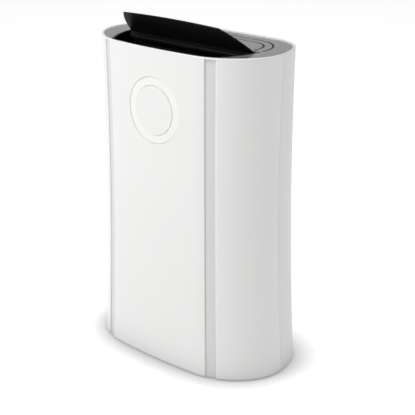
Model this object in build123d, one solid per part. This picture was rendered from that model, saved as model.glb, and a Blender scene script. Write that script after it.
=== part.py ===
from build123d import *
from math import cos, radians, sin
import os

# Domestic compressor dehumidifier: a waisted white casing with a flat back, a silver top with a
# black outlet flap, a water tank and an intake filter at the back, and the refrigeration and fan
# parts inside. Millimetres. Z is up, the front faces -Y, and the origin is on the floor under the
# centre of the casing. The flap is modelled open, because open is its working position.

os.makedirs("parts", exist_ok=True)

# ---------------------------------------------------------------- driving dimensions
HEIGHT = 600.0            # top of the rim above the floor
BODY_GAP = 4.0            # casing edge above the floor
FRONT_Y = -107.0          # front of the plan outline at scale 1
TOP_SCALE = 1.0035        # plan scale at the top of the casing
FLARE = 0.062             # how far the foot of the casing spreads
WALL = 2.8                # casing wall
RIM = 5.0                 # width of the white rim round the top
RIM_Z = 597.0             # underside of the rim ring, top of the casing walls
RIM_ROUND = 1.6
COVER_Z = 594.5           # underside of the silver top
COVER_TOP = 598.0         # upper face of the silver top
STATIONS = 7              # sections in each lofted casing part

# Plan outline as tangent arcs: radius and the bearing where each ends. Bearing 0 is the front,
# 90 the side and 180 the flat back.
PLAN_ARCS = ((1050.0, 5.0), (122.0, 60.0), (82.0, 90.0), (127.0, 125.0), (83.0, 180.0))

# Joints in the casing, as bearings
PANEL_END = 16.0          # edge of the front panel
GROOVE_END = 25.0         # far edge of the groove beside it
GROOVE_DEPTH = 2.6
PANEL_GAP = 0.25          # bearing between front panel and side panel
SEAM_GAP = 0.4
SEAM_Y_ENDS = 11.0        # side-to-rear seam at the floor and at the top
SEAM_Y_WAIST = 5.5        # the same seam at mid-height

# Light ring on the front panel
RING_Z = 489.0
RING_OUTER = 60.0
RING_INNER = 45.0
RING_SINK = 1.0
RING_THICK = 2.5
RING_CLEAR = 0.3
DISC_BACK = 3.5           # depth of the plate that carries lens and centre disc
LED_BOARD_THICK = 1.6

# Flap and outlet
HINGE_Y, HINGE_Z = -12.0, 588.0
FLAP_OPEN = 40.0
FLAP_TOP = 598.5
FLAP_SKIN = 2.2
FLAP_CLEAR = 1.2
BARREL_R = 5.0
FLAP_SIDE = ((151.5, -1.5), (138.2, -46.5), (114.0, -86.0))    # right end, hinge to nose
FLAP_NOSE = -91.5
FLAP_BEVEL = 5.0          # height and inset of the bevelled underside
BARREL_END = 148.3        # half length of the hinge barrel
NECK = 4.0                # half width of the neck from the barrel to the skin
PIN_R = 2.0
PIN_CLEAR = 0.06
OUTLET_SIDE = ((153.5, 1.8), (143.5, -46.0), (111.0, -97.0))   # right end, rear to front
BEZEL_Z = 574.0           # underside of the black surround
DUCT_Z = 545.0
DUCT_WALL = 2.5
GRILLE_Z = 564.0
GRILLE_BARS, GRILLE_PITCH, GRILLE_SLANT = 7, 11.0, 35.0
EAR_X = (151.8, 156.5)    # hinge ears beside the flap

# Control area behind the flap
LOOP_X, LOOP_REAR, LOOP_R = 154.0, 79.0, 61.0
LOOP_FRONT = 5.0
LOOP_STEP = 17.0
LOOP_GAP = 3.0
BEAD_TOP = 597.85         # black trim that fills the gaps round the control ring
BEAD_CLEAR = 0.15
CONTROLS_X = -14.0
DISPLAY_Y = 49.0
DISPLAY_LENGTH, DISPLAY_WIDTH = 92.0, 15.0
GRIP_SIDE, GRIP_MIDDLE, GRIP_X = 85.5, 88.0, 38.0
GRIP_WIDTH = 2.4
BOARD_Z, BOARD_THICK = 584.0, 1.6
BUTTON_R = 8.0
BUTTON_PITCH = 26.0
BUTTON_Y = 28.0
BUTTON_CLEAR = 0.3
BUTTON_NAMES = ("power", "mode", "fan", "timer", "swing")

# Water tank and filter at the back
TANK_Z0, TANK_Z1 = 112.0, 330.0
TANK_BEARING = 125.0
TANK_X = 139.0
TANK_Y0, TANK_Y1 = 26.0, 98.0
TANK_WALL = 2.5
LID_DROP = 14.0           # tank rim below the top of its cover
FILL_HOLE = (-60.0, 62.0)  # under the drip tray's spout
POUR_XY = (90.0, 62.0)
PULL_Z, PULL_LENGTH, PULL_HEIGHT = 306.0, 96.0, 22.0
PULL_WALL = 6.0
FLOAT_X, FLOAT_Y, FLOAT_Z = 100.0, 36.0, 156.0
FLOAT_PIN = 1.5
DRAIN_XZ = (96.0, 60.0)
DRAIN_R = 7.5
GLAND_XZ = (-128.0, 70.0)
GLAND_R = 8.0
FILTER_Z0, FILTER_Z1 = 352.0, 574.0
FILTER_X = 104.0
GRILLE_FACE_Y = 106.2
GRILLE_THICK = 3.0
FILTER_GAP = 0.6

# Base and chassis
FOOT_X, FOOT_Y, FOOT_R, FOOT_HEIGHT = 150.0, (-62.0, 70.0), 13.0, 5.0
PAN_INSET, PAN_Z, PAN_TOP = 6.0, 5.0, 30.0
BULKHEAD_Y, SHEET = 18.0, 2.5
SHELF_Z, SHELF_TOP = 104.0, 108.0
CHEEK_X = 153.0
COIL_FRAME_Z0, COIL_FRAME_Z1 = 349.0, 570.0

# Refrigeration
COMPRESSOR_XY = (92.0, -36.0)
COMPRESSOR_R = 47.0
COMPRESSOR_TOP = 176.0
ACCUMULATOR_XY = (24.0, -46.0)
ACCUMULATOR_TOP = 150.0
EVAPORATOR_Y, CONDENSER_Y = 78.0, 49.0
COIL_DEPTH = 24.0
COIL_END = 124.0
PIPE_R = 4.0
PIPE_ENTRY_Z = 372.0
PIPE_SIDE_X = 160.0
PIPE_BEND = 14.0
FEET_CIRCLE = 52.0        # radius of the compressor's bolt circle
FEET_BEARINGS = (60.0, 180.0, 300.0)
COIL_Z0, COIL_Z1 = 364.0, 554.0
BEND_COUNT, BEND_PITCH = 6, 28.0
CAPILLARY_X, CAPILLARY_Z, CAPILLARY_R = 138.0, 545.0, 1.6

# Fan
FAN_Z = 446.0
FAN_R = 84.0
SCROLL_Y0, SCROLL_Y1 = -74.0, -14.0
SCROLL_WALL = 2.5
RISE_X, RISE_WIDTH = -8.0, 132.0
INLET_R = FAN_R - 14
MOTOR_R = 34.0
SHAFT_R = 4.0
BLADES, BLADE_ANGLE = 24, 35.0
BLADE_LENGTH, BLADE_THICK = 13.0, 1.6

nodes = {}


def keep(name, shape):
    nodes[name] = shape


def group(*solids):
    return Compound(children=list(solids))


def block(x0, x1, y0, y1, z0, z1):
    centre = ((x0 + x1) / 2, (y0 + y1) / 2, (z0 + z1) / 2)
    return Pos(*centre) * Box(x1 - x0, y1 - y0, z1 - z0)


def rod(axis, radius, start, end, across=(0.0, 0.0)):
    """A round bar along X, Y or Z between two places; across is its place in the other two."""
    length, middle = end - start, (start + end) / 2
    if axis == "X":
        return Pos(middle, *across) * Rot(0, 90, 0) * Cylinder(radius, length)
    if axis == "Y":
        return Pos(across[0], middle, across[1]) * Rot(90, 0, 0) * Cylinder(radius, length)
    return Pos(*across, middle) * Cylinder(radius, length)


# ---------------------------------------------------------------- casing outline
def arc_centres():
    """Centre of each plan arc, each tangent to the one before it."""
    centre = Vector(0, FRONT_Y + PLAN_ARCS[0][0])
    centres = [centre]
    for (radius, end), (following, _) in zip(PLAN_ARCS, PLAN_ARCS[1:]):
        normal = Vector(sin(radians(end)), -cos(radians(end)))
        centre = centre + normal * (radius - following)
        centres.append(centre)
    return centres


CENTRES = arc_centres()
ENDS = [end for _, end in PLAN_ARCS]


def plan_point(bearing, inset=0.0, scale=1.0):
    """A point on the outline. Bearings past 180 are on the left side."""
    turn = bearing if bearing <= 180 else 360 - bearing
    side = 1 if 0 <= bearing <= 180 else -1
    turn = abs(turn)
    index = next(i for i, end in enumerate(ENDS) if turn <= end)
    reach = PLAN_ARCS[index][0] - inset
    point = CENTRES[index] + Vector(sin(radians(turn)), -cos(radians(turn))) * reach
    return Vector(side * point.X * scale, point.Y * scale)


def waist(z):
    """Plan scale at a height: narrow above the middle, spreading to the foot."""
    rise = z / HEIGHT
    return TOP_SCALE + FLARE * (1 - rise) * (1 - 2 * rise)


def outline_edges(start, end, inset, z, scale):
    """Arcs of the outline between two bearings, with the flat back where they pass it."""
    joints = sorted({s * e for e in ENDS[:-1] for s in (-1, 1)} | {360 - e for e in ENDS[:-1]} | {180})
    stops = [start] + [b for b in joints if start < b < end] + [end]
    height = Vector(0, 0, z)
    edges = []
    for low, high in zip(stops, stops[1:]):
        first, last = plan_point(low, inset, scale), plan_point(high, inset, scale)
        if low == 180:
            corner, first = first, Vector(-first.X, first.Y)
            edges.append(Line(corner + height, first + height))
        middle = plan_point((low + high) / 2, inset, scale)
        edges.append(ThreePointArc(first + height, middle + height, last + height))
    return edges


def closed_wire(inset, z, scale=None):
    scale = waist(z) if scale is None else scale
    return Wire(outline_edges(-5, 355, inset, z, scale))


def strip_wire(start, end, outer, inner, z):
    """Section of a casing wall between two bearings."""
    scale = waist(z)
    outside = outline_edges(start, end, outer, z, scale)
    inside = outline_edges(start, end, inner, z, scale)
    ends = [Line(inside[0] @ 0, outside[0] @ 0), Line(outside[-1] @ 1, inside[-1] @ 1)]
    return Wire(outside + inside + ends)


def stations(low, high):
    return [low + (high - low) * i / (STATIONS - 1) for i in range(STATIONS)]


def wall_strip(start, end, outer, inner, low, high):
    wires = [strip_wire(start, end, outer, inner, z) for z in stations(low, high)]
    return Solid.make_loft(wires)


def slab(inset, low, high, scale=None):
    """A flat plate with the plan outline."""
    scale = waist((low + high) / 2) if scale is None else scale
    return extrude(Face(closed_wire(inset, low, scale)), high - low, dir=(0, 0, 1))


def behind_seam(offset):
    """Everything behind the curved side seam, moved back by an offset."""
    ends, bend = SEAM_Y_ENDS + offset, SEAM_Y_WAIST + offset
    seam = ThreePointArc((ends, -10), (bend, HEIGHT * 0.45), (ends, HEIGHT + 10))
    border = Polyline((ends, HEIGHT + 10), (200, HEIGHT + 10), (200, -10), (ends, -10))
    face = Plane.YZ * make_face([seam, border])
    return extrude(face, 300, both=True)


# ---------------------------------------------------------------- casing
def front_panel():
    panel = wall_strip(-PANEL_END, PANEL_END, 0, WALL, BODY_GAP, RIM_Z)
    pocket = rod("Y", RING_OUTER + RING_CLEAR, FRONT_Y - 6, FRONT_Y + 12, (0, RING_Z))
    return panel - pocket


def ring_patch(outer, inner, radius):
    """A round patch of the front wall between two depths, centred on the light ring."""
    wall = wall_strip(-PANEL_END, PANEL_END, outer, inner, RING_Z - 70, RING_Z + 70)
    return wall & rod("Y", radius, FRONT_Y - 5, FRONT_Y + 15, (0, RING_Z))


def light_ring():
    hole = rod("Y", RING_INNER, FRONT_Y - 6, FRONT_Y + 16, (0, RING_Z))
    return ring_patch(RING_SINK, RING_SINK + RING_THICK, RING_OUTER) - hole


def ring_disc():
    face = ring_patch(0.2, DISC_BACK + 0.1, RING_INNER - RING_CLEAR)
    back = ring_patch(DISC_BACK, DISC_BACK + 2, RING_OUTER - 0.2)
    return face + back


def ring_led_board():
    face = FRONT_Y + 8.2
    board = rod("Y", RING_OUTER - 8, face, face + LED_BOARD_THICK, (0, RING_Z))
    return board - rod("Y", RING_INNER - 8, FRONT_Y + 7, FRONT_Y + 11, (0, RING_Z))


def side_panel(side):
    start = PANEL_END + PANEL_GAP
    floor = wall_strip(start, GROOVE_END + 2, GROOVE_DEPTH, RIM, BODY_GAP, RIM_Z)
    skin = wall_strip(GROOVE_END, 105, 0, GROOVE_DEPTH + 1, BODY_GAP, RIM_Z)
    panel = floor + skin - behind_seam(-SEAM_GAP / 2)
    return panel if side > 0 else mirror(panel, about=Plane.YZ)


def rear_cover():
    cover = wall_strip(75, 285, 0, WALL, BODY_GAP, RIM_Z) & behind_seam(SEAM_GAP / 2)
    tank_gap = wall_strip(TANK_BEARING - 0.3, 360 - TANK_BEARING + 0.3, -4, 9, TANK_Z0, TANK_Z1)
    side = FILTER_X + FILTER_GAP
    filter_gap = block(-side, side, 90, 125, FILTER_Z0, FILTER_Z1)
    gland_hole = rod("Y", GLAND_R + 0.2, 95, 125, GLAND_XZ)
    cover = cover - tank_gap - filter_gap - gland_hole
    spout = rod("Y", DRAIN_R + WALL - 0.3, 84, 110, DRAIN_XZ)
    return cover + spout - rod("Y", DRAIN_R, 83, 125, DRAIN_XZ)


def top_rim():
    ring = slab(0, RIM_Z, HEIGHT) - slab(RIM, RIM_Z - 1, HEIGHT + 1, waist(HEIGHT))
    crown = ring.edges().filter_by(lambda e: abs(e.center().Z - HEIGHT) < 0.01)
    return fillet(crown, RIM_ROUND)


# ---------------------------------------------------------------- silver top and outlet
def outlet_region(grow, low, high):
    """D-shaped outlet hole that runs out under the front rim."""
    right = [(x + grow, y) for x, y in OUTLET_SIDE]
    right[0] = (right[0][0], right[0][1] + grow)
    left = [(-x, y) for x, y in reversed(right)]
    nose = FRONT_Y - 20
    front = Polyline(right[-1], (right[-1][0], nose), (left[0][0], nose), left[0])
    back = Line(left[-1], right[0])
    face = make_face([ThreePointArc(*right), front, ThreePointArc(*left), back])
    return Pos(0, 0, low) * extrude(face, high - low)


def flap_outline(shrink=0.0):
    """Closed flap seen from above: straight hinge edge, bowed ends, gently curved nose."""
    hinge, middle, tip = FLAP_SIDE
    right = [(hinge[0] - shrink, hinge[1] - shrink), (middle[0] - shrink, middle[1]),
             (tip[0] - shrink, tip[1] + shrink)]
    left = [(-x, y) for x, y in reversed(right)]
    nose = ThreePointArc(right[-1], (0, FLAP_NOSE + shrink), left[0])
    back = Line(left[-1], right[0])
    return make_face([ThreePointArc(*right), nose, ThreePointArc(*left), back])


def loop_face(inset, front):
    """Half stadium round the controls, open towards the flap."""
    x, rear, radius = LOOP_X - inset, LOOP_REAR - inset, LOOP_R - inset
    corners = ((-x, front), (x, front), (x, rear), (-x, rear))
    return make_face(FilletPolyline(*corners, radius=(3, 3, radius, radius), close=True))


def loop_solid(inset, low, high, front=LOOP_FRONT):
    return Pos(0, 0, low) * extrude(loop_face(inset, front), high - low)


def grip_slot():
    arc = ThreePointArc((-GRIP_X, GRIP_SIDE), (0, GRIP_MIDDLE), (GRIP_X, GRIP_SIDE))
    return Pos(0, 0, COVER_Z - 1) * extrude(trace(arc, GRIP_WIDTH), 6)


def top_cover():
    plate = slab(RIM + 0.2, COVER_Z, COVER_TOP, waist(HEIGHT))
    plate -= outlet_region(0, COVER_Z - 1, COVER_TOP + 1)
    return plate - loop_solid(0, COVER_Z - 1, COVER_TOP + 1) - grip_slot()


def control_ring():
    ring = loop_solid(LOOP_GAP, COVER_Z, COVER_TOP, LOOP_FRONT + LOOP_GAP)
    return ring - loop_solid(LOOP_STEP, COVER_Z - 1, COVER_TOP + 1, 0)


def button_places():
    middle = (len(BUTTON_NAMES) - 1) / 2
    return [((i - middle) * BUTTON_PITCH + CONTROLS_X, BUTTON_Y) for i in range(len(BUTTON_NAMES))]


def display_face(grow):
    size = (DISPLAY_LENGTH + 2 * grow, DISPLAY_WIDTH + 2 * grow)
    return Pos(CONTROLS_X, DISPLAY_Y) * RectangleRounded(*size, 5)


def control_plate():
    plate = loop_solid(LOOP_STEP + LOOP_GAP, COVER_Z, COVER_TOP, LOOP_FRONT + LOOP_GAP)
    for place in button_places():
        plate -= rod("Z", BUTTON_R + BUTTON_CLEAR, COVER_Z - 1, COVER_TOP + 1, place)
    return plate - Pos(0, 0, COVER_Z - 1) * extrude(display_face(0.2), 6)


def display_lens():
    return Pos(0, 0, COVER_Z) * extrude(display_face(0), COVER_TOP - COVER_Z - 0.2)


def push_button(place):
    cap = rod("Z", BUTTON_R, COVER_Z - 1.5, COVER_TOP + 1.0, place)
    cap = fillet(cap.edges().group_by(Axis.Z)[-1], 0.8)
    stem = rod("Z", 2.5, 590.2, COVER_Z - 1.5, place)
    return cap + stem


def trim_bead(inset):
    """Bead that stands in the gap on the inside of a loop."""
    outer = loop_solid(inset + BEAD_CLEAR, COVER_Z - 0.3, BEAD_TOP, LOOP_FRONT + BEAD_CLEAR)
    inner = LOOP_FRONT + LOOP_GAP - BEAD_CLEAR
    return outer - loop_solid(inset + LOOP_GAP - BEAD_CLEAR, COVER_Z - 1, BEAD_TOP + 1, inner)


def control_tray():
    """Dark tray that carries the control ring, the plate and the board under them."""
    front = LOOP_FRONT + 0.5
    outer = loop_solid(-3, 578, COVER_Z - 0.2, front)
    hollow = loop_solid(1, 580.5, COVER_Z + 1, front + 3)
    ledge = loop_solid(1, 590, COVER_Z - 0.2, front) - loop_solid(5, 589, COVER_Z, front + 3)
    shelf = loop_solid(LOOP_STEP - 3, 592, COVER_Z - 0.2, front + 3)
    shelf -= loop_solid(LOOP_STEP + 5, 591, COVER_Z, front - 3)
    tray = outer - hollow + ledge + shelf + trim_bead(0) + trim_bead(LOOP_STEP)
    for x in (-84, 56):
        for y in (27, 55):
            tray += rod("Z", 3, 580, BOARD_Z, (x, y))
    return tray


def control_board():
    return block(-88, 60, 24, 58, BOARD_Z, BOARD_Z + BOARD_THICK)


def tact_switches():
    low = BOARD_Z + BOARD_THICK
    return [block(x - 3, x + 3, y - 3, y + 3, low, low + 3.4) for x, y in button_places()]


def outlet_bezel():
    """Black surround of the outlet: crescent lip in front, side walls and hinge ears."""
    top = COVER_TOP - 0.3
    body = slab(RIM + 0.9, BEZEL_Z, top, waist(HEIGHT)) & outlet_region(-0.2, BEZEL_Z, top)
    body -= Pos(0, 0, BEZEL_Z - 4) * extrude(flap_outline(-FLAP_CLEAR), 40)
    body -= block(-160, 160, -2, 10, BEZEL_Z - 4, HEIGHT)
    near, far = EAR_X
    ear = block(near, far, -20, -3, 578, 593)
    body += ear + mirror(ear, about=Plane.YZ)
    body -= rod("X", PIN_R + 0.02, -158, -148, (HINGE_Y, HINGE_Z))
    return body - rod("X", PIN_R + 0.2, 148, 158, (HINGE_Y, HINGE_Z))


def duct_space(wall, low, high):
    """Inside of the casing and the outlet together, less a wall."""
    return outlet_region(-DUCT_WALL - wall, low, high) & slab(RIM + 5 + wall, low, high, waist(HEIGHT))


def outlet_duct():
    """Box between the fan scroll and the outlet."""
    shape = duct_space(0, DUCT_Z, BEZEL_Z - 0.2)
    hollow = duct_space(DUCT_WALL, DUCT_Z + DUCT_WALL, BEZEL_Z + 6)
    half = RISE_WIDTH / 2
    throat = block(RISE_X - half, RISE_X + half, SCROLL_Y0 + SCROLL_WALL, SCROLL_Y1 - SCROLL_WALL,
                   DUCT_Z - 1, DUCT_Z + 4)
    return shape - hollow - throat


def outlet_grille():
    """Slanted bars along the outlet, with cross ribs that tie them."""
    bars = Part()
    for i in range(GRILLE_BARS):
        place = Pos(0, -22 - GRILLE_PITCH * i, GRILLE_Z) * Rot(GRILLE_SLANT, 0, 0)
        bars += place * Box(300, 1.8, 13)
    for x in (-96, -48, 0, 48, 96):
        bars += block(x - 1, x + 1, -93, -16, GRILLE_Z - 7, GRILLE_Z - 3)
    return bars & duct_space(DUCT_WALL, 550, BEZEL_Z - 0.4)


# ---------------------------------------------------------------- flap
def turned(shape):
    """Turn a piece of the closed flap about the hinge to its open position."""
    hinge = Axis((0, HINGE_Y, HINGE_Z), (-1, 0, 0))
    return shape.rotate(hinge, FLAP_OPEN)


def outlet_flap():
    skin = Pos(0, 0, FLAP_TOP - FLAP_SKIN) * extrude(flap_outline(), FLAP_SKIN)
    underside = Pos(0, 0, FLAP_TOP - FLAP_SKIN) * extrude(flap_outline(FLAP_BEVEL), -FLAP_BEVEL, taper=38)
    flap = skin + underside
    barrel = rod("X", BARREL_R, -BARREL_END, BARREL_END, (HINGE_Y, HINGE_Z))
    neck = block(-BARREL_END, BARREL_END, HINGE_Y - NECK, HINGE_Y + NECK, HINGE_Z, FLAP_TOP - 1)
    flap += barrel + neck
    flap -= rod("X", PIN_R + PIN_CLEAR, -150, -136, (HINGE_Y, HINGE_Z))
    flap -= rod("X", PIN_R, 136, 150, (HINGE_Y, HINGE_Z))
    return turned(flap)


def flap_pin():
    return rod("X", PIN_R, -EAR_X[1], -141, (HINGE_Y, HINGE_Z))


def flap_drive_shaft():
    return rod("X", PIN_R, 140, EAR_X[1] + 0.3, (HINGE_Y, HINGE_Z))


def flap_motor():
    start, joint, end = EAR_X[1] + 0.5, 166, 181
    gearbox = block(start, joint, HINGE_Y - 6, HINGE_Y + 6, HINGE_Z - 5, HINGE_Z + 5)
    flats = block(joint, end, -40, 20, HINGE_Z - 4.5, HINGE_Z + 4.5)
    return gearbox + (rod("X", 5, joint, end, (HINGE_Y, HINGE_Z)) & flats)


# ---------------------------------------------------------------- base and chassis
def base_pan():
    scale, floor = waist(PAN_TOP), PAN_Z + 4
    pan = slab(PAN_INSET, PAN_Z, floor, scale)
    pan += slab(PAN_INSET, floor, PAN_TOP, scale) - slab(PAN_INSET + 2.5, floor - 1, PAN_TOP + 1, scale)
    for place in compressor_feet():
        pan += rod("Z", 9, floor - 1, 18, place)
    return pan


def feet():
    return [rod("Z", FOOT_R, 0, FOOT_HEIGHT, (x, y)) for x in (-FOOT_X, FOOT_X) for y in FOOT_Y]


def floor_skids():
    """Side blocks under the casing ends, each with a tongue up into the base."""
    right = block(184, 209, -24, 4, 0, 3.7)
    right = fillet(right.edges().filter_by(Axis.Z), 4)
    right += block(186, 199, -20, 0, 3.5, PAN_Z)
    return [right, mirror(right, about=Plane.YZ)]


def chassis():
    """Bulkhead between tank and compressor, with the tank's shelf and side cheeks."""
    back = BULKHEAD_Y + SHEET
    frame = block(-172, 172, BULKHEAD_Y, back, 9.2, COIL_FRAME_Z0 - 1)
    frame += block(-148, 148, back, 90, SHELF_Z, SHELF_TOP)
    cheek = block(CHEEK_X, CHEEK_X + SHEET, back, 76, SHELF_TOP, TANK_Z1 + 6)
    frame += cheek + mirror(cheek, about=Plane.YZ)
    for x in (-146, -56):
        for z in (194, 296):
            frame += rod("Y", 3, 9.6, BULKHEAD_Y + 1, (x, z))
    return frame


def coil_frame():
    """Upper frame that holds the coils, bolted on the bulkhead."""
    low, high = COIL_FRAME_Z0, COIL_FRAME_Z1
    frame = block(-150, 150, 30, 34, low, high) - block(-128, 128, 29, 35, low + 13, high - 14)
    cheek = block(147, 150, 34, 82, low, high)
    frame += cheek + mirror(cheek, about=Plane.YZ)
    hole = PIPE_R + 1
    frame -= rod("X", hole, -152, -145.9, (EVAPORATOR_Y, PIPE_ENTRY_Z))
    return frame - rod("X", hole, 145.9, 152, (CONDENSER_Y, PIPE_ENTRY_Z))


# ---------------------------------------------------------------- refrigeration
def compressor_feet():
    x, y = COMPRESSOR_XY
    turns = [radians(bearing) for bearing in FEET_BEARINGS]
    return [(x + FEET_CIRCLE * sin(turn), y + FEET_CIRCLE * cos(turn)) for turn in turns]


def compressor():
    can = rod("Z", COMPRESSOR_R, 27, COMPRESSOR_TOP, COMPRESSOR_XY)
    can = fillet(can.edges().group_by(Axis.Z)[-1], 22)
    for place in compressor_feet():
        can += rod("Z", 11, 26, 30, place)
    for place in compressor_feet():
        can -= rod("Z", 5.2, 20, 36, place)
    return can


def compressor_grommets():
    return [rod("Z", 8, 18, 25.8, place) - rod("Z", 3.2, 17, 27, place) for place in compressor_feet()]


def compressor_bolts():
    bolts = []
    for place in compressor_feet():
        bolts.append(rod("Z", 3, 18.2, 34, place) + rod("Z", 5, 30.2, 34, place))
    return bolts


def accumulator():
    x, y = ACCUMULATOR_XY
    can = rod("Z", 15, 60, ACCUMULATOR_TOP, (x, y))
    can = fillet(can.edges().filter_by(GeomType.CIRCLE), 8)
    return can + block(x + 14, COMPRESSOR_XY[0] - COMPRESSOR_R - 0.1, y - 4, y + 16, 96, 112)


def pipe(points, bend, radius):
    path = FilletPolyline(*points, radius=bend)
    section = Plane(origin=path @ 0, z_dir=path % 0) * Circle(radius)
    return sweep(section, path=path)


def suction_pipe():
    """From the accumulator, round the end of the coils, into the evaporator."""
    x, y = ACCUMULATOR_XY
    points = ((x, y, ACCUMULATOR_TOP), (x, y, 335), (-PIPE_SIDE_X, y, 335),
              (-PIPE_SIDE_X, y, PIPE_ENTRY_Z), (-PIPE_SIDE_X, EVAPORATOR_Y, PIPE_ENTRY_Z),
              (-COIL_END, EVAPORATOR_Y, PIPE_ENTRY_Z))
    return pipe(points, PIPE_BEND, PIPE_R)


def discharge_pipe():
    """From the compressor to the condenser."""
    x, y = COMPRESSOR_XY
    points = ((x, y, COMPRESSOR_TOP), (x, y, 322), (PIPE_SIDE_X, y, 322),
              (PIPE_SIDE_X, y, PIPE_ENTRY_Z), (PIPE_SIDE_X, CONDENSER_Y, PIPE_ENTRY_Z),
              (COIL_END, CONDENSER_Y, PIPE_ENTRY_Z))
    return pipe(points, PIPE_BEND, PIPE_R)


def capillary():
    """Thin tube that feeds the evaporator from the condenser."""
    turns = ((COIL_END, CONDENSER_Y), (CAPILLARY_X, CONDENSER_Y),
             (CAPILLARY_X, EVAPORATOR_Y), (COIL_END, EVAPORATOR_Y))
    return pipe([(-x, y, CAPILLARY_Z) for x, y in turns], 8, CAPILLARY_R)


def coil(middle):
    """Fin block with return bends at both ends."""
    half = COIL_DEPTH / 2
    pack = block(-COIL_END, COIL_END, middle - half, middle + half, COIL_Z0, COIL_Z1)
    for i in range(BEND_COUNT):
        x = COIL_END if i % 2 == 0 else -COIL_END
        pack += Pos(x, middle, COIL_Z0 + 23 + BEND_PITCH * i) * Rot(90, 0, 0) * Torus(7, 3.5)
    return pack


def drip_tray():
    tray = block(-132, 132, 35, 93, 349.5, 361) - block(-130, 130, 37, 91, 352, 362)
    spout = rod("Z", 6, 334, 353, FILL_HOLE)
    return tray + spout - rod("Z", 4, 330, 360, FILL_HOLE)


# ---------------------------------------------------------------- fan
def scroll_profile(grow):
    """Spiral casing: a round body that grows into a straight rise at one side."""
    rise = Pos(RISE_X, 50) * Rectangle(RISE_WIDTH + 2 * grow, 98 + 2 * grow)
    return Circle(FAN_R + 12 + grow) + rise


def upright(face, y, thickness):
    """Stand a plan-drawn face up, facing the front, at the fan's height."""
    stood = Plane((0, y, FAN_Z), x_dir=(1, 0, 0), z_dir=(0, -1, 0)) * face
    return extrude(stood, thickness, dir=(0, 1, 0))


def fan_scroll():
    front, back = SCROLL_Y0 + SCROLL_WALL, SCROLL_Y1 - SCROLL_WALL
    case = upright(scroll_profile(0), SCROLL_Y0, SCROLL_Y1 - SCROLL_Y0)
    case &= block(-150, 150, SCROLL_Y0, SCROLL_Y1, 300, DUCT_Z - 0.3)
    hollow = upright(scroll_profile(-SCROLL_WALL), front, back - front)
    half = RISE_WIDTH / 2 - SCROLL_WALL
    mouth = block(RISE_X - half, RISE_X + half, front, back, FAN_Z + 80, DUCT_Z + 15)
    inlet = rod("Y", INLET_R, SCROLL_Y1 - 4, SCROLL_Y1 + 4, (0, FAN_Z))
    motor_hole = rod("Y", 9, SCROLL_Y0 - 4, SCROLL_Y0 + 4, (0, FAN_Z))
    return case - hollow - mouth - inlet - motor_hole


def impeller():
    """Forward-curved blower wheel: back plate, hub, blades and front ring."""
    low, high = SCROLL_Y0 + 7, SCROLL_Y1 - 6
    plate = rod("Y", FAN_R - 2, low, low + 3, (0, FAN_Z))
    hub = rod("Y", 12, low, low + 22, (0, FAN_Z))
    ring = rod("Y", FAN_R - 2, high - 4, high, (0, FAN_Z))
    ring -= rod("Y", INLET_R, high - 5, high + 1, (0, FAN_Z))
    wheel = plate + hub + ring
    blade = Pos(FAN_R - 8, 0) * Rot(0, 0, BLADE_ANGLE) * Rectangle(BLADE_LENGTH, BLADE_THICK)
    for i in range(BLADES):
        wheel += upright(Rot(0, 0, 360 * i / BLADES) * blade, low + 1, high - low - 2)
    return wheel - rod("Y", SHAFT_R, low - 1, low + 24, (0, FAN_Z))


def motor_shaft():
    return rod("Y", SHAFT_R, SCROLL_Y0 - 12, SCROLL_Y0 + 29, (0, FAN_Z))


def fan_motor():
    can = rod("Y", MOTOR_R, SCROLL_Y0 - 20, SCROLL_Y0 - 0.3, (0, FAN_Z))
    can = fillet(can.edges().group_by(Axis.Y)[0], 4)
    return can - rod("Y", SHAFT_R + 0.05, SCROLL_Y0 - 12.2, SCROLL_Y0 + 1, (0, FAN_Z))


# ---------------------------------------------------------------- tank
def water_tank():
    tank = block(-TANK_X, TANK_X, TANK_Y0, TANK_Y1, TANK_Z0, TANK_Z1 - LID_DROP)
    tank = fillet(tank.edges().filter_by(Axis.Z), 14)
    w = TANK_WALL
    hollow = block(-TANK_X + w, TANK_X - w, TANK_Y0 + w, TANK_Y1 - w, TANK_Z0 + w, TANK_Z1)
    hollow = fillet(hollow.edges().filter_by(Axis.Z), 12)
    tank -= hollow
    for side in (-1, 1):
        x = FLOAT_X + side * 3.6
        tank += block(x - 1.4, x + 1.4, TANK_Y0 + w, FLOAT_Y + 4, FLOAT_Z - 6, FLOAT_Z + 6)
    return tank - rod("X", FLOAT_PIN + 0.02, FLOAT_X - 5.5, FLOAT_X + 5.5, (FLOAT_Y, FLOAT_Z))


def tank_lid():
    top = TANK_Z1 - LID_DROP + 0.3
    lid = block(-TANK_X - 1, TANK_X + 1, TANK_Y0 - 1, TANK_Y1 + 1, top, top + 3)
    lid = fillet(lid.edges().filter_by(Axis.Z), 15)
    lid -= rod("Z", 11, top - 1, top + 4, FILL_HOLE)
    return lid - Pos(*POUR_XY, top) * extrude(SlotOverall(46, 14), 4)


def pull_slot(grow, y, length):
    """Upright slot of the finger pull, standing forward of a place in depth."""
    face = SlotOverall(PULL_LENGTH + grow, PULL_HEIGHT + grow)
    return Pos(0, y, PULL_Z) * Rot(90, 0, 0) * extrude(face, length)


def tank_cover():
    """Casing-coloured back of the tank, with a finger pull."""
    gap = FILTER_GAP
    cover = wall_strip(TANK_BEARING, 360 - TANK_BEARING, 0, WALL, TANK_Z0 + gap, TANK_Z1 - gap)
    cover -= pull_slot(0, 124, 24)
    cup = pull_slot(PULL_WALL, 106, 7) - pull_slot(0, 108, 7)
    bridge = block(-90, 90, TANK_Y1, 107, 160, 280) & wall_strip(150, 210, 1, 20, 150, 290)
    return cover + cup + bridge


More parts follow.
